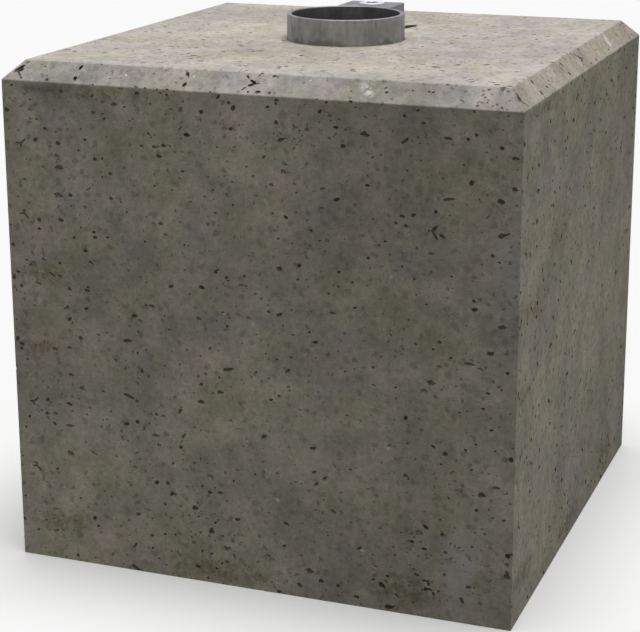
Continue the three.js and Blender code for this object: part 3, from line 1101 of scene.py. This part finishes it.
def air_hole_tree():
    tree = bpy.data.node_groups.new("air_holes", "GeometryNodeTree")
    tree.is_modifier = True
    for name, kind in TREE_INPUTS:
        tree.interface.new_socket(name, in_out="INPUT", socket_type=kind)
    tree.interface.new_socket("Geometry", in_out="OUTPUT", socket_type="NodeSocketGeometry")
    inputs = add(tree, "NodeGroupInput").outputs
    feeds = {"Mesh 1": inputs["Geometry"], "Mesh 2": placed_balls(tree, inputs)}
    pitted = add(tree, "GeometryNodeMeshBoolean", feeds, operation="DIFFERENCE", solver="MANIFOLD")
    realized = add(tree, "GeometryNodeRealizeInstances", {0: pitted.outputs[0]})
    feeds = {"Geometry": realized.outputs[0], "Material": inputs["Material"]}
    finished = add(tree, "GeometryNodeSetMaterial", feeds)
    add(tree, "NodeGroupOutput", {0: finished.outputs[0]})
    return tree


air_holes = air_hole_tree()
print("air hole tree has", len(air_holes.nodes), "nodes")

# %% [markdown]
# ## Cutting the holes
# The tree runs twice: once for the bold holes alone, with the rounder balls, and once for all the
# smaller holes, which need only a few faces each. Two rounds keep the faces for where they show.

# %% Cut the holes
SAME_FOR_ALL = {"Tilt": math.radians(10), "Tilt Spread": math.radians(50), "Material": concrete}
HOLE_ROUNDS = (
    {"Marks": marks, "Density": 0.0, "Roundness": 2, "Seed": 0},
    {
        "Density": 8600.0,
        "Smallest": 0.9 * MM,
        "Growth": 0.85 * MM,
        "Largest": 3.4 * MM,
        "Roundness": 1,
        "Seed": 7,
    },
)


def run_tree(piece, tree, values):
    """Adds the tree as a modifier, sets its inputs by their identifiers, and applies it."""
    modifier = piece.modifiers.new(tree.name, "NODES")
    modifier.node_group = tree
    for socket in tree.interface.items_tree:
        if socket.in_out == "INPUT" and socket.name in values:
            modifier[socket.identifier] = values[socket.name]
    settle(piece)


for values in HOLE_ROUNDS:
    run_tree(block, air_holes, {**SAME_FOR_ALL, **values})
    print("block has", len(block.data.polygons), "faces")
bpy.data.objects.remove(marks)

# %% [markdown]
# ## Shading and unfolding the block
# The walls of the holes are shaded smooth, and all other faces flat, so that a hole never bends the
# light on the plane around it. The UV map lays each outer face of the block in its own cell of a
# sheet of three by three cells, with the holes seen straight on. A baked picture then keeps the
# whole face together instead of tearing it into thousands of scraps.

# %% Shade and unfold the block
SHEET_CELLS = 3
CELL_MARGIN = 0.02
CHAMFER_STRIP = 30 * MM


def shade_holes_smooth(piece):
    mesh = piece.data
    shades = np.zeros(len(mesh.polygons), dtype=np.float32)
    mesh.attributes[AIR_HOLE].data.foreach_get("value", shades)
    mesh.polygons.foreach_set("use_smooth", shades > 0)
    return int((shades > 0).sum())


def sheet_planes():
    """Each outer plane as a point, its normal, its two directions, and its cell on the sheet."""
    planes = []
    middle = UP * BLOCK_TOP / 2
    for number, outward in enumerate(SIDE_DIRECTIONS):
        sideways = UP.cross(outward)
        cell = (number % SHEET_CELLS, number // SHEET_CELLS)
        planes.append((middle + outward * BLOCK_HALF, outward, sideways, UP, cell))
        tilted = (outward + UP).normalized()
        rise = (UP - outward).normalized()
        edge = outward * BLOCK_HALF + UP * (ARRIS + (number - 1.5) * CHAMFER_STRIP)
        planes.append((edge, tilted, sideways, rise, (0, 2)))
    planes.append((UP * BLOCK_TOP, UP, Vector((1, 0, 0)), Vector((0, 1, 0)), (1, 1)))
    planes.append((Vector((0, 0, 0)), -UP, Vector((1, 0, 0)), Vector((0, -1, 0)), (2, 1)))
    return planes


def unfold(piece):
    mesh = piece.data
    centres = np.zeros(3 * len(mesh.polygons))
    mesh.polygons.foreach_get("center", centres)
    centres = centres.reshape(-1, 3)
    counts = np.zeros(len(mesh.polygons), dtype=np.int32)
    mesh.polygons.foreach_get("loop_total", counts)
    corner_points = np.zeros(len(mesh.loops), dtype=np.int32)
    mesh.loops.foreach_get("vertex_index", corner_points)
    points = np.zeros(3 * len(mesh.vertices))
    mesh.vertices.foreach_get("co", points)
    corners = points.reshape(-1, 3)[corner_points]
    planes = sheet_planes()
    reach = [np.abs((centres - np.array(spot)) @ np.array(normal)) for spot, normal, *_ in planes]
    nearest = np.repeat(np.argmin(reach, axis=0), counts)
    sheet = np.zeros((len(corners), 2))
    scale = (1 - 2 * CELL_MARGIN) / (2 * BLOCK_HALF)
    for number, (spot, normal, sideways, rise, cell) in enumerate(planes):
        chosen = nearest == number
        offset = corners[chosen] - np.array(spot)
        flat = np.stack([offset @ np.array(sideways), offset @ np.array(rise)], axis=1)
        sheet[chosen] = (flat * scale + 0.5 + np.array(cell)) / SHEET_CELLS
    mesh.uv_layers.new(name="OFBake").uv.foreach_set("vector", sheet.astype(np.float32).ravel())


print(shade_holes_smooth(block), "faces lie in holes")
unfold(block)
dress(block, "concrete_block", concrete)

# %% [markdown]
# ## The sleeve
# The sleeve is a length of tube. The saw leaves the rim square and the zinc rounds its edges a little,
# which is what catches the light on the real one. A cylinder with a Solidify modifier would give the
# tube but not that rounding, so the whole section, rim included, is drawn once and spun about the axis.

# %% Sleeve
RIM_ROUND = 0.5 * MM
RIM_STEPS = 4


def post_sleeve():
    inner = arc((SLEEVE_BORE + RIM_ROUND, RIM - RIM_ROUND), RIM_ROUND, 180, 90, RIM_STEPS)
    outer = arc((SLEEVE_RADIUS - RIM_ROUND, RIM - RIM_ROUND), RIM_ROUND, 90, 0, RIM_STEPS)
    foot = [(SLEEVE_RADIUS, sleeve_low.z), (SLEEVE_BORE, sleeve_low.z)]
    return turned("post_sleeve_tube", inner + outer + foot, SLEEVE_SIDES)


def smooth_but_sharp(piece, degrees):
    piece.data.shade_smooth()
    piece.data.set_sharp_from_angle(angle=math.radians(degrees))


sleeve = post_sleeve()
smooth_but_sharp(sleeve, degrees=40)
dress(sleeve, "post_sleeve", weathered_zinc)

# %% [markdown]
# ## The lug
# The lug is a short bar, coped to the round of the sleeve and bored for the screw. It could be a box
# with a cylinder cut away, but the pocket's outline already has that curve, so it is used again. The
# zinc rounds the edges, and the bevel comes before the bore, so that the bore keeps a clean edge.

# %% Lug
LUG_ROUND = 0.5 * MM
HEAD_RADIUS = screw_high.x
HEAD_HEIGHT = 7 * MM
SHANK_RADIUS = 5 * MM
HEAD_SEAT = screw_high.z - HEAD_HEIGHT
SCREW_SIDES = 64


def lock_lug():
    lug = prism("lug_bar", lug_outline(0), lug_low.z, lug_high.z)
    rounded = lug.modifiers.new("rounded", "BEVEL")
    rounded.width = LUG_ROUND
    rounded.segments = 3
    rounded.limit_method = "ANGLE"
    rounded.angle_limit = math.radians(50)
    settle(lug)
    cut(lug, turned("screw_hole", [
        (0, screw_low.z - GAP),
        (SHANK_RADIUS + GAP, screw_low.z - GAP),
        (SHANK_RADIUS + GAP, HEAD_SEAT - GAP),
        (HEAD_RADIUS + GAP, HEAD_SEAT - GAP),
        (HEAD_RADIUS + GAP, screw_high.z),
        (0, screw_high.z),
    ], SCREW_SIDES, SCREW_CENTRE))
    return lug


lug = lock_lug()
smooth_but_sharp(lug, degrees=40)
dress(lug, "lock_lug", weathered_zinc)

# %% [markdown]
# ## The locking screw
# A socket head screw lies in the lug with its bright head a little proud. Its thread is out of sight in
# the lug, so the shank stays plain. The screw is turned in one go, with a rounded edge on the head, and
# then the hexagon is cut with a prism, and a shallow cone breaks its mouth.

# %% Locking screw
HEAD_ROUND = 0.7 * MM
HEAD_STEPS = 5
SOCKET_ACROSS = 7 * MM
SOCKET_DEPTH = 4.5 * MM
SOCKET_MOUTH = 0.5 * MM
MOUTH_SIDES = 48


def locking_screw():
    edge = arc((HEAD_RADIUS - HEAD_ROUND, screw_high.z - HEAD_ROUND), HEAD_ROUND, 0, 90, HEAD_STEPS)
    body = turned("socket_screw", [
        (0, screw_low.z),
        (SHANK_RADIUS, screw_low.z),
        (SHANK_RADIUS, HEAD_SEAT),
        (HEAD_RADIUS, HEAD_SEAT),
        *edge,
        (0, screw_high.z),
    ], SCREW_SIDES, SCREW_CENTRE)
    corner_radius = SOCKET_ACROSS / math.sqrt(3)
    floor = screw_high.z - SOCKET_DEPTH
    above = screw_high.z + SOCKET_MOUTH
    hexagon = [(0, floor), (corner_radius, floor), (corner_radius, above), (0, above)]
    cut(body, turned("hexagon", hexagon, 6, SCREW_CENTRE, math.radians(30)))
    mouth = corner_radius + SOCKET_MOUTH
    cone = [(0, above - mouth), (mouth, above), (0, above)]
    cut(body, turned("mouth", cone, MOUTH_SIDES, SCREW_CENTRE))
    return body


screw = locking_screw()
smooth_but_sharp(screw, degrees=30)
dress(screw, "locking_screw", bright_zinc)

# %% [markdown]
# ## Floor and light
# The floor is plain and pale. One broad light from straight above leaves the top bright and the sides
# in soft shade, and a dim even sky fills them in. Metal would look black under a dim sky, so rays that
# come from a gloss see a brighter one.

# %% Floor and light
FLOOR_HALF = 15
FLOOR_PALE = (0.93, 0.93, 0.93, 1)
LIGHT_STRENGTH = 2.7
LIGHT_LEAN = math.radians(3.3)
LIGHT_SPREAD = math.radians(35)
SKY_STRENGTH = 0.165
GLOSS_SKY_STRENGTH = 0.7


def pale_floor():
    shape = bmesh.new()
    bmesh.ops.create_grid(shape, x_segments=1, y_segments=1, size=FLOOR_HALF)
    floor = to_object("pale_floor", shape)
    material = bpy.data.materials.new("pale_floor")
    material.use_nodes = True
    surface = material.node_tree.nodes["Principled BSDF"]
    surface.inputs["Base Color"].default_value = FLOOR_PALE
    surface.inputs["Roughness"].default_value = 0.9
    floor.data.materials.append(material)
    floor.visible_diffuse = False


def overhead_light():
    data = bpy.data.lights.new("overhead_light", "SUN")
    data.energy = LIGHT_STRENGTH
    data.angle = LIGHT_SPREAD
    light = bpy.data.objects.new("overhead_light", data)
    light.rotation_euler = (0, LIGHT_LEAN, 0)
    bpy.context.scene.collection.objects.link(light)


def studio_world():
    world = bpy.data.worlds.new("studio")
    world.use_nodes = True
    tree = world.node_tree
    rays = add(tree, "ShaderNodeLightPath")
    feeds = {"Value": rays.outputs["Is Glossy Ray"], 3: SKY_STRENGTH, 4: GLOSS_SKY_STRENGTH}
    seen = add(tree, "ShaderNodeMapRange", feeds).outputs[0]
    seen = calculate(tree, "MAXIMUM", seen, rays.outputs["Is Camera Ray"])
    tree.links.new(seen, tree.nodes["Background"].inputs["Strength"])
    tree.nodes["Background"].inputs["Color"].default_value = (1, 1, 1, 1)
    bpy.context.scene.world = world


pale_floor()
overhead_light()
studio_world()
bpy.context.scene.view_settings.view_transform = "Standard"
print("light", LIGHT_STRENGTH, "over a sky of", SKY_STRENGTH)
